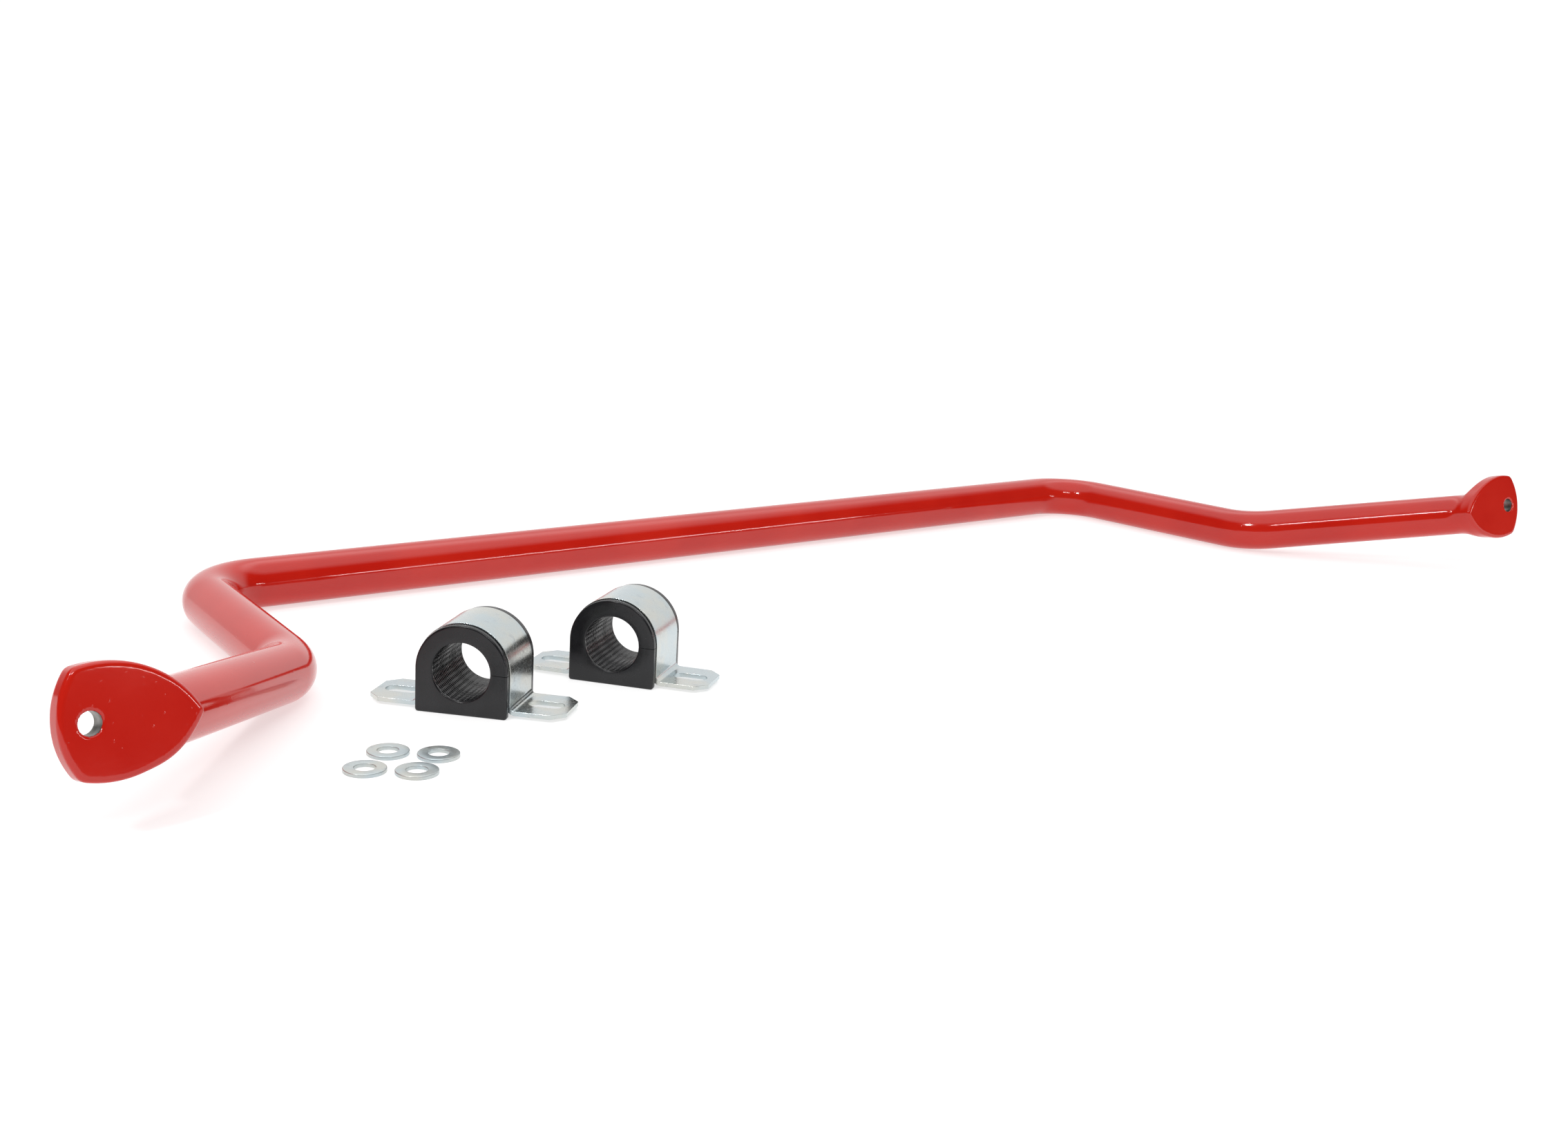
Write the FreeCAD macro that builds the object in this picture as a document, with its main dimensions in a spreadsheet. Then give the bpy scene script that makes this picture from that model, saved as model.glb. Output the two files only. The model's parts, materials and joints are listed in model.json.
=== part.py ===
import FreeCAD, Part
import math
import os
from FreeCAD import Placement, Rotation, Vector

# Sway bar kit as it is laid out on a surface: the bar, two bushes with their saddle brackets and four washers.
# Frame: millimetres, +X along the bar's straight middle, -Y towards the eyes, +Z up, surface at z = 0.
# The origin is the middle of the whole kit's footprint.

os.makedirs("parts", exist_ok=True)
doc = FreeCAD.newDocument("SwayBar")

driving_sizes = {
    # bar
    "bar_radius": 16,
    "half_main": 401.3,
    "main_back": 160.76,
    "link_out": 18.4,
    "link_forward": 187.7,
    "end_out": 136.3,
    "end_forward": 138.8,
    "end_rise": 31.4,
    "main_bend_radius": 44,
    "end_bend_radius": 56,
    "tube_end_gap": 30,
    # eye at each end of the bar
    "eye_out": 151.8,
    "eye_forward": 140.0,
    "eye_rise": 36.1,
    "eye_toe_in": 7.6,
    "eye_tilt_up": 11.1,
    "eye_thickness": 10,
    "eye_hole_radius": 5.3,
    "eye_corner_round": 2.5,
    "eye_edge_round": 2,
    "neck_inboard": 14,
    "neck_drop": 2,
    "neck_half_height": 19,
    # bush
    "bore_clearance": 0.05,
    "bush_length": 45.3,
    "bush_half_width": 25.4,
    "bore_height": 23.8,
    "groove_depth": 2.2,
    "front_flange": 3.8,
    "rear_flange": 4.6,
    "slit_height": 0.8,
    # saddle bracket
    "strap_thickness": 2.5,
    "strap_width": 35.5,
    "strap_gap": 0.3,
    "foot_clearance": 1.7,
    "foot_bend": 3,
    "foot_reach": 55,
    "corner_clip": 7,
    "slot_centre": 40.6,
    "slot_length": 19.8,
    "slot_width": 10.5,
    # washer
    "washer_outer": 10.5,
    "washer_inner": 5.25,
    "washer_thickness": 2,
}

# Where each loose piece lies: (x, y, turn about +Z in degrees), measured from the bar's middle.
bush_places = {"left": (-357.4, -256.5, -49.5), "right": (-257.3, -248.5, -54.3)}
washer_places = [(-416.2, -290.8), (-397.0, -306.7), (-436.8, -307.6), (-417.1, -322.7)]

sheet = doc.addObject("Spreadsheet::Sheet", "Sizes")
for row, (alias, value) in enumerate(driving_sizes.items(), start=1):
    sheet.set(f"A{row}", alias)
    sheet.set(f"B{row}", str(value))
    sheet.setAlias(f"B{row}", alias)
doc.recompute()


def size(alias):
    return float(sheet.get(alias))


def add(kind, name, bound=None, placement=None):
    piece = doc.addObject(kind, name)
    for prop, expression in (bound or {}).items():
        piece.setExpression(prop, expression)
    if placement:
        piece.Placement = placement
    return piece


def fuse(name, pieces):
    joined = add("Part::MultiFuse", name)
    joined.Shapes = pieces
    joined.Refine = True
    return joined


def cut(name, base, tool):
    remains = add("Part::Cut", name)
    remains.Base = base
    remains.Tool = tool
    return remains


def shape_object(name, shape):
    piece = add("Part::Feature", name)
    piece.Shape = shape
    return piece


def extrude(name, profile, direction, length):
    solid = add("Part::Extrusion", name, {"LengthFwd": length})
    solid.Base = profile
    solid.DirMode = "Custom"
    solid.Dir = direction
    solid.Solid = True
    return solid


def round_edges(name, base, radius, upright):
    """Round the upright corners of an extruded blank, or the rims of its two flats."""
    doc.recompute()
    rounded = add("Part::Fillet", name)
    rounded.Base = base
    rounded.Edges = [
        (number, radius, radius)
        for number, edge in enumerate(base.Shape.Edges, start=1)
        if (edge.BoundBox.ZLength > 0.001) == upright
    ]
    return rounded


def edge_between(start, end, through=None):
    """A straight edge, or an arc when it passes through a third point."""
    if through is None:
        return Part.LineSegment(start, end).toShape()
    return Part.Arc(start, through, end).toShape()


# ---- bar ----


def rounded_route(points, radii):
    """Straight runs through the points, joined by tangent arcs of the given radii."""
    edges = []
    start = points[0]
    for before, corner, after, radius in zip(points, points[1:], points[2:], radii):
        back = (before - corner).normalize()
        ahead = (after - corner).normalize()
        half_inside = back.getAngle(ahead) / 2
        tangent = radius / math.tan(half_inside)
        inward = (back + ahead).normalize()
        middle = corner + inward * (radius / math.sin(half_inside) - radius)
        arc_start = corner + back * tangent
        arc_end = corner + ahead * tangent
        edges.append(edge_between(start, arc_start))
        edges.append(edge_between(arc_start, arc_end, middle))
        start = arc_end
    edges.append(edge_between(start, points[-1]))
    return Part.Wire(edges)


def mirrored(point):
    return Vector(-point.x, point.y, point.z)


main_corner = Vector(size("half_main"), size("main_back"), size("bar_radius"))
link_corner = main_corner + Vector(size("link_out"), -size("link_forward"), 0)
end_run = Vector(size("end_out"), -size("end_forward"), size("end_rise"))
end_direction = Vector(end_run).normalize()
tube_end = link_corner + end_direction * (end_run.Length - size("tube_end_gap"))
right_side = [main_corner, link_corner, tube_end]
route_points = [mirrored(point) for point in reversed(right_side)] + right_side
bend_radii = [size("end_bend_radius"), size("main_bend_radius")]
route = shape_object("BarRoute", rounded_route(route_points, bend_radii + bend_radii[::-1]))
bar_section = add("Part::Circle", "BarSection", {"Radius": "Sizes.bar_radius"})
bar_section.Placement = Placement(mirrored(tube_end), Rotation(Vector(0, 0, 1), mirrored(end_direction)))
tube = add("Part::Sweep", "BarTube")
tube.Sections = [bar_section]
tube.Spine = (route, [f"Edge{number + 1}" for number in range(len(route.Shape.Edges))])
tube.Solid = True
tube.Frenet = True

# The eye's own axes: x outboard along the flat, y up the flat, z out of its front face.
eye_middle = link_corner + Vector(size("eye_out"), -size("eye_forward"), size("eye_rise"))
toe_in = math.radians(size("eye_toe_in"))
tilt_up = math.radians(size("eye_tilt_up"))
eye_outboard = Vector(math.cos(toe_in), -math.sin(toe_in), 0)
eye_forward = Vector(-math.sin(toe_in), -math.cos(toe_in), 0)
eye_normal = eye_forward * math.cos(tilt_up) + Vector(0, 0, math.sin(tilt_up))
eye_up = eye_normal.cross(eye_outboard)
eye_place = Placement(eye_middle, Rotation(eye_outboard, eye_up, eye_normal, "XZY"))

top_corner = Vector(5, 24, 0)
bottom_corner = Vector(6.5, -23.8, 0)
bottom_neck = Vector(-41, -17.5, 0)
top_neck = Vector(-43, 8, 0)
eye_outline = Part.Wire([
    edge_between(top_corner, bottom_corner, Vector(13.5, 0.5, 0)),
    edge_between(bottom_corner, bottom_neck, Vector(-16, -26.6, 0)),
    edge_between(bottom_neck, top_neck, Vector(-50.5, -4.8, 0)),
    edge_between(top_neck, top_corner, Vector(-18, 23, 0)),
])
eye_profile = shape_object("EyeOutline", Part.Face(eye_outline))
eye_blank = extrude("EyeBlank", eye_profile, Vector(0, 0, 1), "Sizes.eye_thickness")
eye_corners = round_edges("EyeCorners", eye_blank, size("eye_corner_round"), upright=True)
eye = round_edges("Eye", eye_corners, size("eye_edge_round"), upright=False)
eye.Placement = eye_place.multiply(Placement(Vector(0, 0, -size("eye_thickness") / 2), Rotation()))

# The neck tapers from the round bar into the middle of the flat eye.
neck_start = add("Part::Circle", "NeckStart", {"Radius": "Sizes.bar_radius"})
neck_start.Placement = Placement(tube_end, Rotation(Vector(0, 0, 1), end_direction))
neck_end = add("Part::Ellipse", "NeckEnd", {
    "MajorRadius": "Sizes.neck_half_height",
    "MinorRadius": "Sizes.eye_thickness / 2 - 0.1",
})
neck_middle = Vector(-size("neck_inboard"), -size("neck_drop"), 0)
section_turn = Rotation(Vector(0, 1, 0), Vector(0, 0, 1), Vector(1, 0, 0), "XZY")
neck_end.Placement = eye_place.multiply(Placement(neck_middle, section_turn))
neck = add("Part::Loft", "Neck")
neck.Sections = [neck_start, neck_end]
neck.Solid = True
neck.Ruled = True

eye_hole = add("Part::Cylinder", "EyeHole", {"Radius": "Sizes.eye_hole_radius", "Height": "Sizes.eye_thickness * 3"})
eye_hole.Placement = eye_place.multiply(Placement(Vector(0, 0, -size("eye_thickness") * 1.5), Rotation()))
right_end = cut("RightEnd", fuse("RightEyeAndNeck", [eye, neck]), eye_hole)
left_end = add("Part::Mirroring", "LeftEnd")
left_end.Source = right_end
left_end.Normal = Vector(1, 0, 0)
sway_bar = fuse("sway_bar", [tube, right_end, left_end])


# ---- bushes and saddle brackets, each built round its bore: x across, y along the bore, z up ----

along_bore = Rotation(Vector(1, 0, 0), -90)
upper_half = along_bore.multiply(Rotation(Vector(0, 0, 1), 180))


def arch(name, half_width, start, length):
    """A block with an arched top, centred on the bore axis."""
    crown = add("Part::Cylinder", f"{name}Crown", {"Radius": half_width, "Height": length})
    crown.Angle = 180
    crown.Placement.Rotation = upper_half
    crown.setExpression("Placement.Base.y", start)
    crown.setExpression("Placement.Base.z", "Sizes.bore_height")
    base = add("Part::Box", f"{name}Base", {
        "Length": f"2 * ({half_width})",
        "Width": length,
        "Height": "Sizes.bore_height",
        "Placement.Base.x": f"-({half_width})",
        "Placement.Base.y": start,
    })
    return fuse(name, [crown, base])


def build_bush(side, place):
    length = "Sizes.bush_length"
    core_half_width = "Sizes.bush_half_width - Sizes.groove_depth"
    core = arch(f"{side}BushCore", core_half_width, "0 mm", length)
    front = arch(f"{side}BushFront", "Sizes.bush_half_width", "0 mm", "Sizes.front_flange")
    rear_start = "Sizes.bush_length - Sizes.rear_flange"
    rear = arch(f"{side}BushRear", "Sizes.bush_half_width", rear_start, "Sizes.rear_flange")
    bore = add("Part::Cylinder", f"{side}BushBore", {
        "Radius": "Sizes.bar_radius + Sizes.bore_clearance",
        "Height": "3 * Sizes.bush_length",
    })
    bore.Placement = Placement(Vector(0, -size("bush_length"), size("bore_height")), along_bore)
    slit = add("Part::Box", f"{side}BushSlit", {
        "Length": "2 * Sizes.bush_half_width",
        "Width": "3 * Sizes.bush_length",
        "Height": "Sizes.slit_height",
    })
    slit.Placement.Base = Vector(0, -size("bush_length"), size("bore_height") - size("slit_height") / 2)
    opened = cut(f"{side}BushOpened", fuse(f"{side}BushBlock", [core, front, rear]), bore)
    bush = cut(f"{side}_bush", opened, slit)
    bush.Placement = place
    return bush


def strap_profile():
    """The bent strip seen along the bore: feet, foot bends, walls and arched crown."""
    thick = size("strap_thickness")
    inner = size("bush_half_width") - size("groove_depth") + size("strap_gap")
    outer = inner + thick
    under = size("foot_clearance")
    top = under + thick
    bend = size("foot_bend")
    bend_top = top + bend
    axis = size("bore_height")
    reach = size("foot_reach")
    diagonal = math.sqrt(0.5)

    def side_points(sign):
        bend_x = sign * (outer + bend)
        toe_top = Vector(sign * reach, 0, top)
        toe_under = Vector(sign * reach, 0, under)
        heel_top = Vector(bend_x, 0, top)
        heel_under = Vector(bend_x, 0, under)
        wall_outer = Vector(sign * outer, 0, bend_top)
        wall_inner = Vector(sign * inner, 0, bend_top)
        top_middle = Vector(bend_x - sign * bend * diagonal, 0, bend_top - bend * diagonal)
        wide = bend + thick
        under_middle = Vector(bend_x - sign * wide * diagonal, 0, bend_top - wide * diagonal)
        return {
            "outer": Vector(sign * outer, 0, axis),
            "inner": Vector(sign * inner, 0, axis),
            "edges": [
                edge_between(Vector(sign * outer, 0, axis), wall_outer),
                edge_between(wall_outer, heel_top, top_middle),
                edge_between(heel_top, toe_top),
                edge_between(toe_top, toe_under),
                edge_between(toe_under, heel_under),
                edge_between(heel_under, wall_inner, under_middle),
                edge_between(wall_inner, Vector(sign * inner, 0, axis)),
            ],
        }

    right = side_points(1)
    left = side_points(-1)
    crown_outer = edge_between(left["outer"], right["outer"], Vector(0, 0, axis + outer))
    crown_inner = edge_between(right["inner"], left["inner"], Vector(0, 0, axis + inner))
    edges = [crown_outer] + right["edges"] + [crown_inner] + left["edges"]
    return Part.Face(Part.Wire(Part.__sortEdges__(edges)))


def build_bracket(side, place):
    profile = shape_object(f"{side}StrapProfile", strap_profile())
    strap = extrude(f"{side}Strap", profile, Vector(0, 1, 0), "Sizes.strap_width")
    tools = []
    slot_half = size("slot_length") / 2 - size("slot_width") / 2
    for sign in (-1, 1):
        for end in (-1, 1):
            hole = add("Part::Cylinder", f"{side}SlotEnd", {"Radius": "Sizes.slot_width / 2", "Height": "10 mm"})
            x = sign * size("slot_centre") + end * slot_half
            hole.Placement.Base = Vector(x, size("strap_width") / 2, 0)
            tools.append(hole)
            clip = add("Part::Box", f"{side}CornerClip", {
                "Length": "Sizes.corner_clip * sqrt(2)",
                "Width": "Sizes.corner_clip * sqrt(2)",
                "Height": "10 mm",
            })
            corner_y = 0 if end < 0 else size("strap_width")
            corner = Vector(sign * size("foot_reach"), corner_y - size("corner_clip"), 0)
            clip.Placement = Placement(corner, Rotation(Vector(0, 0, 1), 45))
            tools.append(clip)
        middle = add("Part::Box", f"{side}SlotMiddle", {
            "Length": "Sizes.slot_length - Sizes.slot_width",
            "Width": "Sizes.slot_width",
            "Height": "10 mm",
        })
        low_x = sign * size("slot_centre") - slot_half
        middle.Placement.Base = Vector(low_x, size("strap_width") / 2 - size("slot_width") / 2, 0)
        tools.append(middle)
    bracket = cut(f"{side}_bracket", strap, fuse(f"{side}FootCuts", tools))
    strap_start = size("front_flange") + size("strap_gap")
    bracket.Placement = place.multiply(Placement(Vector(0, strap_start, 0), Rotation()))
    return bracket


nodes = {"sway_bar": sway_bar}
for side, (x, y, turn) in bush_places.items():
    place = Placement(Vector(x, y + size("main_back"), 0), Rotation(Vector(0, 0, 1), turn))
    nodes[f"{side}_bush"] = build_bush(side, place)
    nodes[f"{side}_bracket"] = build_bracket(side, place)

# ---- washers ----

for number, (x, y) in enumerate(washer_places, start=1):
    name = f"washer_{number}"
    thickness = {"Height": "Sizes.washer_thickness"}
    disc = add("Part::Cylinder", f"{name}_disc", {"Radius": "Sizes.washer_outer", **thickness})
    hole = add("Part::Cylinder", f"{name}_hole", {"Radius": "Sizes.washer_inner", **thickness})
    washer = cut(name, disc, hole)
    washer.Placement.Base = Vector(x, y + size("main_back"), 0)
    nodes[name] = washer

doc.recompute()
for item in doc.Objects:
    if "Invalid" in item.State or "Error" in item.State:
        raise RuntimeError(f"{item.Name} did not build: {item.State}")
for name, piece in nodes.items():
    piece.Label = name
    if piece.Shape.isNull() or not piece.Shape.isValid():
        raise RuntimeError(f"{name} has no valid shape")
    piece.Shape.exportStep(f"parts/{name}.step")
    box = piece.Shape.optimalBoundingBox()
    print(f"{name}: {len(piece.Shape.Solids)} solid, {piece.Shape.Volume:.0f} mm3, "
          f"x {box.XMin:.2f} {box.XMax:.2f}, y {box.YMin:.2f} {box.YMax:.2f}, z {box.ZMin:.2f} {box.ZMax:.2f}")
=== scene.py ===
import json
import math

import bpy
import numpy as np
from mathutils import Matrix, Vector


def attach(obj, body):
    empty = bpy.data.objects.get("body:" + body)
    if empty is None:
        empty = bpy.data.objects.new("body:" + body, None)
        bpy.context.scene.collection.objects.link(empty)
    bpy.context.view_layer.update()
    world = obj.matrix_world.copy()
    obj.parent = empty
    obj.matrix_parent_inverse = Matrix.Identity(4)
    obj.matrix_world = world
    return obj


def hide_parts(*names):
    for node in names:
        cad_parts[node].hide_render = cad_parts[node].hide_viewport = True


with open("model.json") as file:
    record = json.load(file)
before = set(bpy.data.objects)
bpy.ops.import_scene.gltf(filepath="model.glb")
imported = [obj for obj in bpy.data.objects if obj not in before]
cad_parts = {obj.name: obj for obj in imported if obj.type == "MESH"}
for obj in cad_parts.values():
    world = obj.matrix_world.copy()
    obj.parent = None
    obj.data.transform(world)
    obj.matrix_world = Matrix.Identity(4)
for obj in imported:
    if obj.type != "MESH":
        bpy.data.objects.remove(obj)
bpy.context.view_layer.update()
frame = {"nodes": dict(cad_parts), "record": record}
mounts = {mount["name"]: mount for mount in frame["record"]["mounts"]}
mm = 0.001
print("frame loaded:", ", ".join(sorted(frame["nodes"])))


class Signal:
    # A shader socket that takes part in sums.
    def __init__(self, graph, socket):
        self.graph = graph
        self.socket = socket

    def maths(self, operation, first, second):
        return self.graph.node("ShaderNodeMath", {"operation": operation}, {0: first, 1: second})

    def __add__(self, other):
        return self.maths("ADD", self, other)

    def __radd__(self, other):
        return self.maths("ADD", other, self)

    def __sub__(self, other):
        return self.maths("SUBTRACT", self, other)

    def __rsub__(self, other):
        return self.maths("SUBTRACT", other, self)

    def __mul__(self, other):
        return self.maths("MULTIPLY", self, other)

    def __rmul__(self, other):
        return self.maths("MULTIPLY", other, self)


class Graph:
    # One node tree, of a material or of the world.
    def __init__(self, owner):
        owner.use_nodes = True
        self.tree = owner.node_tree
        self.tree.nodes.clear()

    def node(self, kind, settings=None, inputs=None, output=0):
        made = self.tree.nodes.new(kind)
        for name, value in (settings or {}).items():
            setattr(made, name, value)
        for name, value in (inputs or {}).items():
            if isinstance(value, Signal):
                self.tree.links.new(value.socket, made.inputs[name])
            else:
                made.inputs[name].default_value = value
        return Signal(self, made.outputs[output]) if made.outputs else None

    def place(self, stretch):
        # Object coordinates in metres, stretched along each axis.
        coordinates = self.node("ShaderNodeTexCoord", output="Object")
        return self.node("ShaderNodeMapping", inputs={"Vector": coordinates, "Scale": stretch})

    def noise(self, size, detail=2.0, stretch=(1, 1, 1)):
        # Grain whose features are about this many millimetres across.
        values = {"Vector": self.place(stretch), "Scale": 1 / (size * mm), "Detail": detail}
        return self.node("ShaderNodeTexNoise", inputs=values)

    def between(self, signal, limits, results=(0.0, 1.0), curve="LINEAR"):
        # The signal's span between the limits becomes the span between the results.
        values = {
            "Value": signal,
            "From Min": limits[0],
            "From Max": limits[1],
            "To Min": results[0],
            "To Max": results[1],
        }
        return self.node("ShaderNodeMapRange", {"interpolation_type": curve}, values)

    def dot(self, vector, along):
        inputs = {0: vector, 1: along}
        return self.node("ShaderNodeVectorMath", {"operation": "DOT_PRODUCT"}, inputs, output=1)

    def blend(self, mask, first, second):
        inputs = {"Factor": mask, "A": first, "B": second}
        return self.node("ShaderNodeMix", {"data_type": "RGBA"}, inputs, output=2)

    def bump(self, height, depth):
        return self.node("ShaderNodeBump", inputs={"Height": height, "Distance": depth * mm})

    def surface(self, **values):
        shader = self.node("ShaderNodeBsdfPrincipled", inputs=values)
        self.node("ShaderNodeOutputMaterial", inputs={"Surface": shader})


def startMaterial(name):
    material = bpy.data.materials.new(name)
    return material, Graph(material)


def redCoat():
    # Gloss powder coat with slight orange peel, a few dust nibs and broad, faint changes of red.
    look = {
        "reds": ((0.52, 0.011, 0.005, 1), (0.57, 0.016, 0.007, 1)),
        "patchSize": 60,
        "patchEdge": (0.35, 0.65),
        "roughness": (0.07, 0.13),
        "peelSize": 2.6,
        "peelDepth": 0.012,
        "nibSize": 2.2,
        "nibEdge": (0.8, 0.9),
        "nibDepth": 0.05,
        "ior": 1.47,
        "lacquer": 0.12,
        "lacquerRoughness": 0.03,
    }
    material, graph = startMaterial("redCoat")
    peel = graph.noise(look["peelSize"], detail=1.0)
    nibs = graph.between(graph.noise(look["nibSize"], detail=0.0), look["nibEdge"])
    patches = graph.noise(look["patchSize"], detail=3.0)
    height = peel * look["peelDepth"] + nibs * look["nibDepth"]
    graph.surface(**{
        "Base Color": graph.blend(graph.between(patches, look["patchEdge"]), *look["reds"]),
        "Roughness": graph.between(patches, (0.3, 0.7), look["roughness"]),
        "Normal": graph.bump(height, 1.0),
        "IOR": look["ior"],
        "Coat Weight": look["lacquer"],
        "Coat Roughness": look["lacquerRoughness"],
    })
    return material


def bareSteel():
    # Drilled wall of an eye hole, with fine rings from the drill.
    look = {
        "greys": ((0.26, 0.25, 0.24, 1), (0.15, 0.14, 0.12, 1)),
        "stainSize": 4.0,
        "stainEdge": (0.4, 0.65),
        "ringSize": 0.35,
        "ringStretch": (0.15, 2, 0.15),
        "ringDepth": 0.03,
        "roughness": (0.32, 0.5),
    }
    material, graph = startMaterial("bareSteel")
    rings = graph.noise(look["ringSize"], stretch=look["ringStretch"])
    stain = graph.noise(look["stainSize"], detail=4.0)
    graph.surface(**{
        "Base Color": graph.blend(graph.between(stain, look["stainEdge"]), *look["greys"]),
        "Metallic": 1.0,
        "Roughness": graph.between(rings, (0.3, 0.7), look["roughness"]),
        "Normal": graph.bump(rings, look["ringDepth"]),
    })
    return material


def blackPolyurethane():
    # Cast black polyurethane: satin skin with a faint mottle and small scuffs.
    look = {
        "blacks": ((0.008, 0.008, 0.009, 1), (0.014, 0.014, 0.016, 1)),
        "mottleSize": 9,
        "roughness": (0.19, 0.28),
        "scuffSize": 3.5,
        "scuffStretch": (1, 1, 0.35),
        "scuffEdge": (0.68, 0.78),
        "scuffColour": (0.05, 0.05, 0.05, 1),
        "scuffShare": 0.3,
        "scuffRoughness": 0.12,
        "skinSize": 0.5,
        "skinDepth": 0.012,
        "ior": 1.44,
    }
    material, graph = startMaterial("blackPolyurethane")
    skin = graph.noise(look["skinSize"], detail=3.0)
    mottle = graph.noise(look["mottleSize"], detail=4.0)
    scuffGrain = graph.noise(look["scuffSize"], detail=6.0, stretch=look["scuffStretch"])
    scuffs = graph.between(scuffGrain, look["scuffEdge"])
    colour = graph.blend(graph.between(mottle, (0.3, 0.7)), *look["blacks"])
    roughness = graph.between(mottle, (0.3, 0.7), look["roughness"])
    graph.surface(**{
        "Base Color": graph.blend(scuffs * look["scuffShare"], colour, look["scuffColour"]),
        "Roughness": roughness + scuffs * look["scuffRoughness"],
        "Normal": graph.bump(skin, look["skinDepth"]),
        "IOR": look["ior"],
    })
    return material


def zincPlate(name, roughness):
    # Clear zinc: cool blue-white with faint straw patches, drawing lines and small handling marks.
    look = {
        "hues": ((0.50, 0.565, 0.585, 1), (0.57, 0.58, 0.545, 1)),
        "hueSize": 22,
        "hueEdge": (0.42, 0.62),
        "markSize": 5,
        "markEdge": (0.6, 0.72),
        "markColour": (0.38, 0.42, 0.46, 1),
        "markShare": 0.35,
        "markRoughness": 0.06,
        "lineSize": 0.5,
        "lineStretch": (1, 1, 0.06),
        "lineShare": 0.5,
        "pitSize": 1.3,
        "grainDepth": 0.012,
    }
    material, graph = startMaterial(name)
    hue = graph.noise(look["hueSize"], detail=3.0)
    lines = graph.noise(look["lineSize"], detail=3.0, stretch=look["lineStretch"])
    pits = graph.noise(look["pitSize"], detail=2.0)
    marks = graph.between(graph.noise(look["markSize"], detail=5.0), look["markEdge"])
    colour = graph.blend(graph.between(hue, look["hueEdge"]), *look["hues"])
    graph.surface(**{
        "Base Color": graph.blend(marks * look["markShare"], colour, look["markColour"]),
        "Metallic": 1.0,
        "Roughness": graph.between(pits, (0.3, 0.7), roughness) + marks * look["markRoughness"],
        "Normal": graph.bump(lines * look["lineShare"] + pits, look["grainDepth"]),
    })
    return material


coats = {
    "red": redCoat(),
    "bare": bareSteel(),
    "black": blackPolyurethane(),
    "zinc": zincPlate("zincPlate", (0.17, 0.28)),
    "barrelledZinc": zincPlate("barrelledZinc", (0.34, 0.44)),
}
print("materials made")


def makePiece(name, points, faces, materials, faceMaterials=None):
    # Points are in millimetres in the row frame.
    mesh = bpy.data.meshes.new(name)
    mesh.from_pydata([Vector(point) * mm for point in points], [], faces)
    for material in materials:
        mesh.materials.append(material)
    if faceMaterials is not None:
        mesh.polygons.foreach_set("material_index", np.asarray(faceMaterials, dtype=np.int32))
    mesh.shade_smooth()
    mesh.validate()
    piece = bpy.data.objects.new(name, mesh)
    bpy.context.scene.collection.objects.link(piece)
    return piece


def standFor(piece, body, node):
    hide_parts(node)
    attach(piece, body)


def unit(vector):
    return np.asarray(vector, float) / np.linalg.norm(vector)


# Bar: sizes in millimetres, angles in degrees. The corners are where the straight runs would meet.
bar = {
    "radius": 16.0,
    "halfMain": 401.3,
    "mainBack": 160.76,
    "linkOut": 18.4,
    "linkForward": 187.7,
    "endOut": 136.3,
    "endForward": 138.8,
    "endRise": 31.4,
    "mainBend": 44.0,
    "endBend": 56.0,
    "degreesPerRing": 2.5,
    "roundSides": 96,
}

mainCorner = np.array([bar["halfMain"], bar["mainBack"], bar["radius"]])
linkCorner = mainCorner + (bar["linkOut"], -bar["linkForward"], 0)
endRun = np.array([bar["endOut"], -bar["endForward"], bar["endRise"]])
endDirection = unit(endRun)

eye = {
    "thickness": 10.0,
    "holeRadius": 5.3,
    "rim": 2.4,
    "frontRound": 2.4,
    "cornerRound": 1.5,
    "holeLip": 0.9,
    "flare": 11.0,
    "tubeStop": 13.0,
    "tubeStopRound": 8.0,
    "seatRadius": 13.0,
    "seatRound": 2.5,
    "cutBefore": 62.0,  # from the end of the run back to where the forging's mesh starts
    "seam": 1.2,
    "cell": 0.8,
    "netReach": 34.0,
    "bareEdge": 0.25,
    "bareInset": 0.7,
    "corners": {
        "top": (4.6, 24.0),
        "bottom": (6.5, -23.4),
        "lowerNeck": (-40.0, -16.0),
        "upperNeck": (-43.0, 8.0),
    },
    "bulges": {
        "outer": (13.5, 0.5),
        "lower": (-16.0, -26.0),
        "upper": (-18.0, 23.2),
    },
}

eyeMount = mounts["right_eye_bore"]
eyeMiddle = np.array(eyeMount["pos_m"]) / mm
eyeNormal = unit(eyeMount["axis"])
eyeOutboard = unit(np.cross((0, 0, 1), eyeNormal))
eyeUp = np.cross(eyeNormal, eyeOutboard)


def discThrough(start, middle, end):
    # Centre and radius of the circle through three points.
    a, b, c = (complex(*point) for point in (start, middle, end))
    ratio = (c - a) / (b - a)
    centre = a + (b - a) * (ratio - abs(ratio) ** 2) / (ratio - ratio.conjugate())
    return centre.real, centre.imag, abs(a - centre)


def softUnion(first, second, reach):
    # Joins two distance fields with a fillet.
    overlap = np.maximum(reach - np.abs(first - second), 0) / reach
    return np.minimum(first, second) - overlap ** 2 * reach / 4


def softCommon(first, second, reach):
    return -softUnion(-first, -second, reach)


# The flat eye's outline is the overlap of three large discs with its corners rounded off.
ends = eye["corners"]
discs = [
    discThrough(ends["top"], eye["bulges"]["outer"], ends["bottom"]),
    discThrough(ends["bottom"], eye["bulges"]["lower"], ends["lowerNeck"]),
    discThrough(ends["upperNeck"], eye["bulges"]["upper"], ends["top"]),
]


def eyeOutline(out, up):
    outer, lower, upper = (np.hypot(out - x, up - y) - radius for x, y, radius in discs)
    reach = eye["cornerRound"]
    return softCommon(softCommon(lower, upper, reach), outer, reach)


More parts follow.
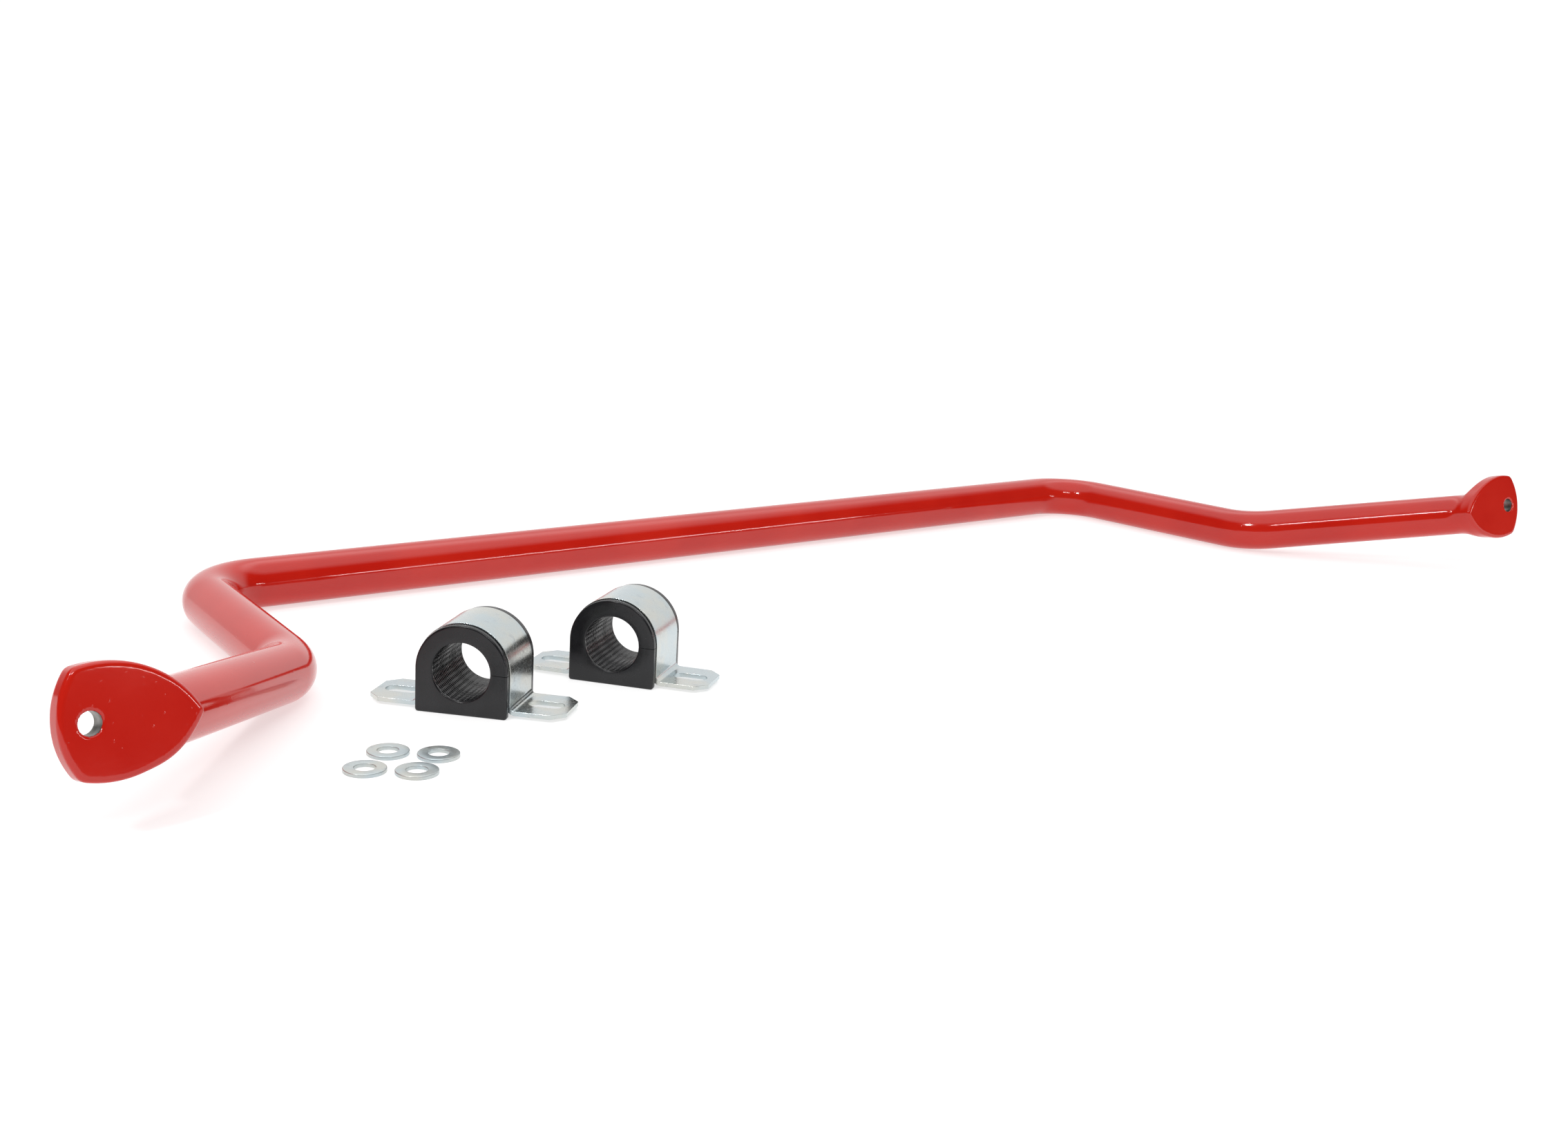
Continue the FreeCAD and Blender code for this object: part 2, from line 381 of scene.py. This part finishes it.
def eyeField(points):
    # Distance to the forged end's surface: round bar, flat eye, flare between them, seat and hole.
    local = points - eyeMiddle
    out = local @ eyeOutboard
    up = local @ eyeUp
    ahead = local @ eyeNormal
    half = eye["thickness"] / 2
    rim = eye["rim"]
    edge = eyeOutline(out, up) + rim
    back = rim - ahead - half
    outside = np.hypot(np.maximum(edge, 0), np.maximum(back, 0))
    plate = outside + np.minimum(np.maximum(edge, back), 0) - rim
    along = (points - linkCorner) @ endDirection
    tube = np.linalg.norm(points - linkCorner - along[:, None] * endDirection, axis=1) - bar["radius"]
    stop = along - np.linalg.norm(endRun) + eye["tubeStop"]
    tube = softCommon(tube, stop, eye["tubeStopRound"])
    body = softUnion(plate, tube, eye["flare"])
    body = softCommon(body, ahead - half, eye["frontRound"])
    fromHole = np.hypot(out, up)
    seat = softCommon(fromHole - eye["seatRadius"], ahead + half, eye["seatRound"])
    body = softCommon(body, -seat, eye["seatRound"])
    return softCommon(body, eye["holeRadius"] - fromHole, eye["holeLip"])


def surfaceNet(field, origin, axes, counts, step):
    # Quads over the field's zero surface, with one point in each lattice cell that it passes through.
    grid = np.stack(np.meshgrid(*[np.arange(count) for count in counts], indexing="ij"), axis=-1)
    values = field(origin + grid.reshape(-1, 3) * step @ axes).reshape(counts)
    solid = values < 0
    cells = tuple(count - 1 for count in counts)
    total = np.zeros(cells + (3,))
    hits = np.zeros(cells)
    crossings = []
    for axis in range(3):
        low = [slice(None)] * 3
        high = [slice(None)] * 3
        low[axis] = slice(0, -1)
        high[axis] = slice(1, None)
        before = values[tuple(low)]
        after = values[tuple(high)]
        crossed = solid[tuple(low)] != solid[tuple(high)]
        share = np.where(crossed, before / np.where(crossed, before - after, 1), 0)
        places = grid[tuple(low)].astype(float)
        places[..., axis] += share
        others = [other for other in range(3) if other != axis]
        for shift in ((0, 0), (0, 1), (1, 0), (1, 1)):
            window = [slice(None)] * 3
            for other, moved in zip(others, shift):
                window[other] = slice(moved, cells[other] + moved)
            part = crossed[tuple(window)]
            total += np.where(part[..., None], places[tuple(window)], 0)
            hits += part
        crossings.append((axis, crossed, solid[tuple(low)]))
    used = hits > 0
    number = np.full(cells, -1)
    number[used] = np.arange(used.sum())
    points = origin + (total[used] / hits[used][:, None]) * step @ axes
    faces = []
    for axis, crossed, startSolid in crossings:
        first, second = (axis + 1) % 3, (axis + 2) % 3
        spots = np.argwhere(crossed)
        keep = (spots[:, first] > 0) & (spots[:, second] > 0)
        keep &= (spots[:, first] < cells[first]) & (spots[:, second] < cells[second])
        spots = spots[keep]
        corners = []
        for moveFirst, moveSecond in ((1, 1), (0, 1), (0, 0), (1, 0)):
            cell = spots.copy()
            cell[:, first] -= moveFirst
            cell[:, second] -= moveSecond
            corners.append(number[tuple(cell.T)])
        quads = np.stack(corners, axis=1)
        outward = startSolid[tuple(spots.T)]
        quads[~outward] = quads[~outward][:, ::-1]
        faces.append(quads)
    return settle(field, points), np.concatenate(faces)


def settle(field, points, sweeps=3, nudge=0.02, leastSlope=0.25, ease=0.9):
    # Moves the points along the field's slope until they lie on its surface.
    for sweep in range(sweeps):
        slope = np.zeros_like(points)
        here = field(points)
        for axis in range(3):
            offset = np.zeros(3)
            offset[axis] = nudge
            slope[:, axis] = (field(points + offset) - field(points - offset)) / (2 * nudge)
        steep = np.maximum((slope ** 2).sum(1), leastSlope)
        points = points - (here / steep)[:, None] * slope * ease
    return points


def ringAxes(direction):
    side = unit(np.cross((0, 0, 1), direction))
    return side, np.cross(direction, side)


def barRings():
    # Centre and direction of every ring from the bar's middle to the right-hand end's cut.
    rings = [(np.array([0, mainCorner[1], mainCorner[2]]), np.array([1.0, 0, 0]))]
    cut = linkCorner + endRun - endDirection * (eye["cutBefore"] + eye["seam"])
    route = [rings[0][0], mainCorner, linkCorner, cut]
    bends = (bar["mainBend"], bar["endBend"])
    for corner, before, after, radius in zip(route[1:], route, route[2:], bends):
        arriving = unit(corner - before)
        leaving = unit(after - corner)
        turn = math.acos(arriving @ leaving)
        inward = unit(leaving - arriving * math.cos(turn))
        start = corner - arriving * radius * math.tan(turn / 2)
        steps = math.ceil(math.degrees(turn) / bar["degreesPerRing"])
        for angle in np.linspace(0, turn, steps + 1):
            centre = start + radius * (arriving * math.sin(angle) + inward * (1 - math.cos(angle)))
            rings.append((centre, arriving * math.cos(angle) + inward * math.sin(angle)))
    rings.append((cut, endDirection))
    return rings


def ringPoints(centre, direction):
    side, up = ringAxes(direction)
    angles = np.arange(bar["roundSides"]) * 2 * math.pi / bar["roundSides"]
    ring = np.cos(angles)[:, None] * side + np.sin(angles)[:, None] * up
    return centre + bar["radius"] * ring


def stitch(firstLoop, firstAngles, secondLoop, secondAngles):
    # Triangles between two closed loops whose points are in order of angle.
    faces = []
    i = j = 0
    countI = len(firstLoop)
    countJ = len(secondLoop)
    while i < countI or j < countJ:
        nextI = (i + 1) % countI
        nextJ = (j + 1) % countJ
        angleI = firstAngles[nextI] + (2 * math.pi if i + 1 >= countI else 0)
        angleJ = secondAngles[nextJ] + (2 * math.pi if j + 1 >= countJ else 0)
        here = (firstLoop[i % countI], secondLoop[j % countJ])
        if j >= countJ or (i < countI and angleI <= angleJ):
            faces.append((here[0], firstLoop[nextI], here[1]))
            i += 1
        else:
            faces.append((here[0], secondLoop[nextJ], here[1]))
            j += 1
    return faces


def forgedEnd():
    # The forging's points and quads, and the open rim at its cut with the angle of each rim point.
    cutPlace = linkCorner + endRun - endDirection * eye["cutBefore"]
    side, up = ringAxes(endDirection)
    reach = eye["netReach"]
    step = eye["cell"]
    axes = np.array([endDirection, side, up])
    wide = int(2 * reach / step)
    counts = (int((eye["cutBefore"] + reach) / step), wide, wide)
    points, quads = surfaceNet(eyeField, cutPlace - (side + up) * reach, axes, counts, step)
    local = points - cutPlace
    edges = np.sort(np.concatenate([quads[:, [k, (k + 1) % 4]] for k in range(4)]), axis=1)
    unique, times = np.unique(edges, axis=0, return_counts=True)
    rim = np.unique(unique[times == 1])
    angles = np.arctan2(local[rim] @ up, local[rim] @ side) % (2 * math.pi)
    order = np.argsort(angles)
    return points, quads, rim[order], angles[order]


def buildBar():
    points, quads, rimPoints, rimAngles = forgedEnd()
    rings = [ringPoints(centre, direction) for centre, direction in barRings()]
    sides = bar["roundSides"]
    tubePoints = np.concatenate(rings)
    faces = []
    for ring in range(len(rings) - 1):
        low = ring * sides
        for k in range(sides):
            nextK = (k + 1) % sides
            faces.append((low + k, low + nextK, low + sides + nextK, low + sides + k))
    lastRing = np.arange(sides) + (len(rings) - 1) * sides
    ringAngles = np.arange(sides) * 2 * math.pi / sides
    shift = len(tubePoints)
    faces += [tuple(int(k) + shift for k in quad) for quad in quads]
    faces += stitch(list(lastRing), ringAngles, [int(k) + shift for k in rimPoints], rimAngles)
    points = np.concatenate([tubePoints, points])

    # The left half is the mirror image; the two share the ring at the bar's middle.
    half = len(points)
    mirror = points * (-1, 1, 1)
    renumber = np.concatenate([np.arange(sides), np.arange(sides, half) + half - sides])
    allPoints = np.concatenate([points, mirror[sides:]])
    allFaces = faces + [tuple(int(renumber[k]) for k in reversed(face)) for face in faces]

    # Faces on the walls of the eye holes are bare steel.
    centres = np.array([allPoints[list(face)].mean(0) for face in allFaces])
    centres[:, 0] = np.abs(centres[:, 0])
    away = centres - eyeMiddle
    fromHole = np.hypot(away @ eyeOutboard, away @ eyeUp)
    inHole = fromHole < eye["holeRadius"] + eye["bareEdge"]
    inHole &= np.abs(away @ eyeNormal) < eye["thickness"] / 2 - eye["bareInset"]
    paints = [coats["red"], coats["bare"]]
    piece = makePiece("swayBar", allPoints, allFaces, paints, inHole.astype(int))
    standFor(piece, "bar", "sway_bar")
    print("bar:", len(allPoints), "points")


buildBar()


# Bushes: depths run from the front flange back along the bore.
bush = {
    "boreRadius": 16.05,
    "length": 45.3,
    "halfWidth": 25.4,
    "boreHeight": 23.8,
    "grooveDepth": 2.2,
    "frontFlange": 3.8,
    "rearFlange": 4.6,
    "slit": 0.3,
    "edgeRound": 0.9,
    "flangeRound": 0.4,
    "grooveRound": 0.5,
    "grooveBevel": 0.15,
    "boreRound": 0.7,
    "footCorner": 1.6,
    "ribPitch": 1.9,
    "ribStarts": 18,
    "ribDepth": 0.45,
    "ribStep": 0.32,
    "ribFade": 1.5,
    "sharpAngle": 48,
    "crownPoints": 150,
    "wallPoints": 16,
    "cornerPoints": 7,
    "footPoints": 44,
    "faceRings": (0.96, 0.6, 0.3, 0.02),
    "mouthAngles": (0.4, 0.9, 1.3),
}


def bushPlace(side):
    # The bore's middle, the way its front faces, and the way across it.
    mount = mounts[f"{side}_bush_bore"]
    ahead = unit(mount["axis"])
    return np.array(mount["pos_m"]) / mm, ahead, np.cross((0, 0, 1), ahead)


def standUp(points, front, ahead, across):
    # Points given as across, depth and height are put in their place.
    local = np.array(points).reshape(-1, 3)
    upward = np.array([0, 0, 1.0])
    return front + local[:, :1] * across - local[:, 1:2] * ahead + local[:, 2:] * upward


def bushColumns(half, depth):
    # Outline from just above the slit, over the crown and round the foot, to just below the slit.
    lift = bush["slit"] / 2
    corner = bush["footCorner"]
    first = math.asin(lift / bush["halfWidth"])
    crown = np.linspace(first, math.pi, bush["crownPoints"])
    points = [np.stack([half * np.cos(crown), half * np.sin(crown)], axis=1)]
    points[0][0, 1] = lift
    wall = np.linspace(0, -(depth - corner), bush["wallPoints"])[1:]
    points.append(np.stack([np.full(len(wall), -half), wall], axis=1))
    bend = np.linspace(0, math.pi / 2, bush["cornerPoints"])[1:]
    cornerX = -half + corner - corner * np.cos(bend)
    cornerZ = -(depth - corner) - corner * np.sin(bend)
    points.append(np.stack([cornerX, cornerZ], axis=1))
    flat = np.linspace(-half + corner, half - corner, bush["footPoints"])[1:]
    points.append(np.stack([flat, np.full(len(flat), -depth)], axis=1))
    points.append(np.stack([-cornerX[::-1], cornerZ[::-1]], axis=1)[1:])
    points.append(np.array([[half, -(depth - corner)]]))
    rise = np.linspace(-(depth - corner), -lift, bush["wallPoints"])[1:]
    points.append(np.stack([np.full(len(rise), half), rise], axis=1))
    return np.concatenate(points)


def bushRows():
    # Rows round the section: depth, inset from the outside, and share of the way in to the bore.
    length = bush["length"]
    groove = bush["grooveDepth"]
    edge = bush["edgeRound"]
    lip = bush["flangeRound"]
    soft = bush["grooveRound"]
    bevel = bush["grooveBevel"]
    front = bush["frontFlange"]
    rear = length - bush["rearFlange"]
    shares = bush["faceRings"]
    quarter = np.radians([22.5, 45, 67.5, 90])
    fall = quarter[::-1]
    rows = [(0.0, edge, share) for share in shares]
    rows += [(edge * (1 - math.cos(t)), edge * (1 - math.sin(t)), 0.0) for t in quarter]
    rows += [(y, 0.0, 0.0) for y in np.linspace(edge, front - lip, 4)[1:]]
    rows += [(front - lip * (1 - math.sin(t)), lip * (1 - math.cos(t)), 0.0) for t in quarter]
    rows += [(front, groove - soft, 0.0), (front + bevel, groove - bevel, 0.0)]
    rows += [(front + soft, groove, 0.0)]
    rows += [(y, groove, 0.0) for y in np.linspace(front + soft, rear - soft, 12)[1:]]
    rows += [(rear - bevel, groove - bevel, 0.0), (rear, groove - soft, 0.0)]
    rows += [(rear + lip * (1 - math.sin(t)), lip * (1 - math.cos(t)), 0.0) for t in fall]
    rows += [(y, 0.0, 0.0) for y in np.linspace(rear + lip, length - edge, 4)]
    rows += [(length - edge * (1 - math.sin(t)), edge * (1 - math.cos(t)), 0.0) for t in quarter]
    rows += [(length, edge, share) for share in reversed(shares)]
    return rows


def boreRows():
    # Depth and extra radius of each row along the bore, from the rear back to the front.
    length = bush["length"]
    lip = bush["boreRound"]
    mouth = []
    for t in bush["mouthAngles"]:
        mouth.append((length - lip * (1 - math.cos(t)), lip * (1 - math.sin(t))))
    count = round((length - 2 * lip) / bush["ribStep"])
    straight = [(y, 0.0) for y in np.linspace(length - lip, lip, count)]
    return mouth + straight + [(length - y, extra) for y, extra in reversed(mouth)]


def boreRadii(y, extra, angles):
    # Two sets of fine threads that cross, fading out towards the mouths.
    fromMouth = min(y, bush["length"] - y) - bush["boreRound"]
    fade = min(1, max(0, fromMouth) / bush["ribFade"])
    swing = bush["ribStarts"] * angles
    along = 2 * math.pi * y / bush["ribPitch"]
    ribs = np.maximum(np.cos(along + swing), np.cos(along - swing)) * 0.5 + 0.5
    return bush["boreRadius"] + extra + bush["ribDepth"] * (1 - ribs) * fade


def buildBush(side):
    middle, ahead, across = bushPlace(side)
    length = bush["length"]
    columns = bushColumns(bush["halfWidth"], bush["boreHeight"])
    angles = np.unwrap(np.arctan2(columns[:, 1], columns[:, 0]))
    ring = np.stack([np.cos(angles), np.sin(angles)], axis=1)
    grid = []
    for y, inset, share in bushRows():
        sunk = inset if min(y, length - y) < bush["edgeRound"] else 0
        outer = bushColumns(bush["halfWidth"] - inset, bush["boreHeight"] - sunk)
        section = outer * (1 - share) + ring * bush["boreRadius"] * share
        if share == max(bush["faceRings"]):
            section = ring * (bush["boreRadius"] + bush["boreRound"])
        grid.append(np.column_stack([section[:, 0], np.full(len(section), y), section[:, 1]]))
    for y, extra in boreRows():
        section = ring * boreRadii(y, extra, angles)[:, None]
        grid.append(np.column_stack([section[:, 0], np.full(len(section), y), section[:, 1]]))
    rows = len(grid)
    width = len(columns)
    points = standUp(grid, middle + ahead * length / 2, ahead, across)
    faces = []
    for row in range(rows):
        near = row * width
        far = (row + 1) % rows * width
        for k in range(width - 1):
            faces.append((far + k, far + k + 1, near + k + 1, near + k))
    faces.append(tuple(row * width for row in reversed(range(rows))))
    faces.append(tuple(row * width + width - 1 for row in range(rows)))
    piece = makePiece(f"{side}Bush", points, faces, [coats["black"]])
    piece.data.set_sharp_from_angle(angle=math.radians(bush["sharpAngle"]))
    standFor(piece, f"{side}_bush", f"{side}_bush")
    print(piece.name, len(points), "points")


for side in ("left", "right"):
    buildBush(side)


bracket = {
    "thickness": 2.5,
    "width": 35.5,
    "gap": 0.3,
    "footClearance": 1.7,
    "footBend": 3.0,
    "footReach": 55.0,
    "cornerClip": 7.0,
    "slotCentre": 40.6,
    "slotLength": 19.8,
    "slotWidth": 10.5,
    "edgeRound": 0.4,
    "bevelAngle": 30,
    "bendRows": 9,
    "legRows": 3,
    "crownRows": 61,
    "columns": 17,
    "rimSteps": 12,
    "footRings": (0.0, 0.12, 0.5, 1.0),
}


def bracketLine(radius, heel, footHeight):
    # The strip's middle line from one heel over the crown to the other, as distance out and height.
    bend = heel - radius
    top = bush["boreHeight"]
    line = []
    for angle in np.linspace(1.5 * math.pi, math.pi, bracket["bendRows"]):
        line.append((heel + bend * math.cos(angle), footHeight + bend + bend * math.sin(angle)))
    leg = np.linspace(footHeight + bend, top, bracket["legRows"] + 2)[1:-1]
    line += [(radius, height) for height in leg]
    mirrored = [(-x, z) for x, z in reversed(line)]
    for angle in np.linspace(0, math.pi, bracket["crownRows"]):
        line.append((radius * math.cos(angle), top + radius * math.sin(angle)))
    return line + mirrored


def footRim(heel, depths):
    # A foot's outline: along its rear, round its clipped end, along its front and back up the heel.
    width = bracket["width"]
    reach = bracket["footReach"]
    clip = bracket["cornerClip"]
    corners = [
        (heel, width),
        (reach - clip, width),
        (reach, width - clip),
        (reach, clip),
        (reach - clip, 0),
        (heel, 0),
    ]
    rim = []
    for (startX, startY), (endX, endY) in zip(corners, corners[1:]):
        for share in np.linspace(0, 1, bracket["rimSteps"], endpoint=False):
            rim.append((startX + (endX - startX) * share, startY + (endY - startY) * share))
    return rim + [(heel, y) for y in depths[:-1]]


def slotPoint(x, y):
    # The nearest point on the slot's edge.
    radius = bracket["slotWidth"] / 2
    run = bracket["slotLength"] / 2 - radius
    middle = bracket["width"] / 2
    anchor = min(max(x, bracket["slotCentre"] - run), bracket["slotCentre"] + run)
    gap = math.hypot(x - anchor, y - middle)
    return anchor + (x - anchor) / gap * radius, middle + (y - middle) / gap * radius


def buildBracket(side):
    middle, ahead, across = bushPlace(side)
    start = bush["frontFlange"] + bracket["gap"]
    front = middle + ahead * (bush["length"] / 2 - start)
    front[2] = 0
    thick = bracket["thickness"]
    radius = bush["halfWidth"] - bush["grooveDepth"] + bracket["gap"] + thick / 2
    heel = radius + (bracket["footBend"] + thick / 2)
    footHeight = bracket["footClearance"] + thick / 2
    line = bracketLine(radius, heel, footHeight)
    depths = np.linspace(0, bracket["width"], bracket["columns"])
    points = [(x, y, z) for x, z in line for y in depths]
    wide = len(depths)
    faces = []
    for row in range(len(line) - 1):
        for k in range(wide - 1):
            first = row * wide + k
            faces.append((first, first + 1, first + wide + 1, first + wide))

    # Each foot is rings of quads from the slot out to the rim, which shares the heel's points.
    rim = footRim(heel, depths)
    for sign, heelRow in ((1, 0), (-1, len(line) - 1)):
        rings = []
        for share in bracket["footRings"]:
            ring = []
            for x, y in rim:
                if share == 1.0 and x == heel:
                    k = round(y / bracket["width"] * (wide - 1))
                    ring.append(heelRow * wide + k)
                else:
                    slotX, slotY = slotPoint(x, y)
                    ring.append(len(points))
                    out = slotX + (x - slotX) * share
                    points.append((sign * out, slotY + (y - slotY) * share, footHeight))
            rings.append(ring)
        for inner, outer in zip(rings, rings[1:]):
            for k in range(len(rim)):
                nextK = (k + 1) % len(rim)
                quad = (inner[k], inner[nextK], outer[nextK], outer[k])
                faces.append(quad if sign > 0 else quad[::-1])
    placed = standUp(points, front, ahead, across)
    piece = makePiece(f"{side}Bracket", placed, faces, [coats["zinc"]])
    solid = piece.modifiers.new("thickness", "SOLIDIFY")
    solid.thickness = thick * mm
    solid.offset = 0
    solid.use_even_offset = True
    soft = piece.modifiers.new("edges", "BEVEL")
    soft.width = bracket["edgeRound"] * mm
    soft.segments = 3
    soft.limit_method = "ANGLE"
    soft.angle_limit = math.radians(bracket["bevelAngle"])
    soft.harden_normals = True
    standFor(piece, f"{side}_bracket", f"{side}_bracket")
    print(piece.name, len(points), "points")


for side in ("left", "right"):
    buildBracket(side)


washer = {
    "outer": 10.5,
    "inner": 5.25,
    "thickness": 2.0,
    "topRound": 0.45,
    "holeRound": 0.27,
    "underRound": 0.2,
    "sides": 144,
    "cornerSteps": 6,
    "sharpAngle": 60,
}


def washerProfile():
    # Radius and height round the washer's section; the punched side is rounder on top.
    outer, inner, height = washer["outer"], washer["inner"], washer["thickness"]
    profile = []
    for radius, level, size, start in (
        (outer, 0, washer["underRound"], -90),
        (outer, height, washer["topRound"], 0),
        (inner, height, washer["holeRound"], 90),
        (inner, 0, washer["underRound"], 180),
    ):
        middleR = radius - size if radius == outer else radius + size
        middleZ = level + size if level == 0 else level - size
        for angle in np.radians(np.linspace(start, start + 90, washer["cornerSteps"])):
            profile.append((middleR + size * math.cos(angle), middleZ + size * math.sin(angle)))
    return profile


def buildWasher(number):
    middle = np.array(mounts[f"washer_{number}_hole"]["pos_m"]) / mm
    profile = washerProfile()
    sides = washer["sides"]
    points = []
    for angle in np.arange(sides) * 2 * math.pi / sides:
        out = np.array([math.cos(angle), math.sin(angle)])
        for radius, height in profile:
            points.append((*(middle[:2] + radius * out), height))
    count = len(profile)
    faces = []
    for k in range(sides):
        nextK = (k + 1) % sides
        for j in range(count):
            nextJ = (j + 1) % count
            here = k * count
            after = nextK * count
            faces.append((here + j, after + j, after + nextJ, here + nextJ))
    piece = makePiece(f"washer{number}", points, faces, [coats["barrelledZinc"]])
    piece.data.set_sharp_from_angle(angle=math.radians(washer["sharpAngle"]))
    standFor(piece, f"washer_{number}", f"washer_{number}")


for number in range(1, 5):
    buildWasher(number)
print("washers made")


# Floor, lights and camera: metres, watts and degrees.
studio = {
    "floorSize": 24.0,
    "floorColour": (0.50, 0.50, 0.50, 1),
    "floorRoughness": 0.7,
    "floorShine": 0.1,
    "floorGlow": 0.62,
    "keyPower": 50.0,
    "keySize": (0.5, 0.5),
    "keyPlace": (-3.2, -0.9, 3.0),
    "windowPower": 16.0,
    "windowSize": (1.1, 0.07),
    "windowPlace": (-1.1, -2.27, 2.15),
    "sillPower": 6.0,
    "sillSize": (1.2, 0.07),
    "sillPlace": (1.5, -2.3, 0.42),
    "lightTarget": (0, 0, 0),
    "facing": (0.6425, 0.7663, 0.0),
    "behindLevel": 1.03,
    "behindSpan": (0.3, 0.65),
    "darkLevel": 0.04,
    "horizonLevel": 0.08,
    "horizonSpan": (0.0, 0.25),
    "ceilingLevel": 1.3,
    "ceilingSpan": (0.62, 0.84),
    "lens": 39.754,
    "sensorWidth": 36,
    "cameraPlace": (-0.7903, -0.87024, 0.2917),
    "cameraHeading": -40.0,
    "cameraPitch": 77.2,
    "cameraRoll": 3.24,
}


def buildFloor():
    half = studio["floorSize"] / 2
    mesh = bpy.data.meshes.new("floor")
    corners = [(-half, -half, 0), (half, -half, 0), (half, half, 0), (-half, half, 0)]
    mesh.from_pydata(corners, [], [(0, 1, 2, 3)])
    material, graph = startMaterial("floorPaint")
    graph.surface(**{
        "Base Color": studio["floorColour"],
        "Roughness": studio["floorRoughness"],
        "Specular IOR Level": studio["floorShine"],
        "Emission Color": (1, 1, 1, 1),
        "Emission Strength": studio["floorGlow"],
    })
    mesh.materials.append(material)
    floor = bpy.data.objects.new("floor", mesh)
    bpy.context.scene.collection.objects.link(floor)


def buildWorld():
    # White behind the parts, dark on the viewer's side, brighter overhead.
    world = bpy.data.worlds.new("studioWorld")
    bpy.context.scene.world = world
    graph = Graph(world)
    direction = graph.node("ShaderNodeTexCoord", output="Generated")
    away = graph.dot(direction, studio["facing"])
    height = graph.node("ShaderNodeSeparateXYZ", inputs={0: direction}, output=2)
    behind = graph.between(away, studio["behindSpan"], curve="SMOOTHSTEP")
    ceiling = graph.between(height, studio["ceilingSpan"], curve="SMOOTHSTEP")
    levels = (studio["horizonLevel"], studio["darkLevel"])
    front = graph.between(height, studio["horizonSpan"], levels)
    level = behind * studio["behindLevel"] + (1 - behind) * front
    level = level + ceiling * studio["ceilingLevel"]
    light = graph.node("ShaderNodeBackground", inputs={"Color": (1, 1, 1, 1), "Strength": level})
    graph.node("ShaderNodeOutputWorld", inputs={"Surface": light})


def buildSoftbox(name):
    light = bpy.data.lights.new(name, "AREA")
    light.shape = "RECTANGLE"
    light.size, light.size_y = studio[name + "Size"]
    light.energy = studio[name + "Power"]
    box = bpy.data.objects.new(name, light)
    place = Vector(studio[name + "Place"])
    turn = (Vector(studio["lightTarget"]) - place).to_track_quat("-Z", "Y")
    box.matrix_world = Matrix.Translation(place) @ turn.to_matrix().to_4x4()
    bpy.context.scene.collection.objects.link(box)


def buildCamera():
    data = bpy.data.cameras.new("camera")
    data.lens = studio["lens"]
    data.sensor_width = studio["sensorWidth"]
    camera = bpy.data.objects.new("camera", data)
    turn = Matrix.Rotation(math.radians(studio["cameraHeading"]), 4, "Z")
    turn = turn @ Matrix.Rotation(math.radians(studio["cameraPitch"]), 4, "X")
    turn = turn @ Matrix.Rotation(math.radians(studio["cameraRoll"]), 4, "Z")
    camera.matrix_world = Matrix.Translation(studio["cameraPlace"]) @ turn
    bpy.context.scene.collection.objects.link(camera)
    bpy.context.scene.camera = camera


buildFloor()
buildWorld()
for name in ("key", "window", "sill"):
    buildSoftbox(name)
buildCamera()
bpy.context.scene.view_settings.view_transform = "Standard"
print("studio ready")
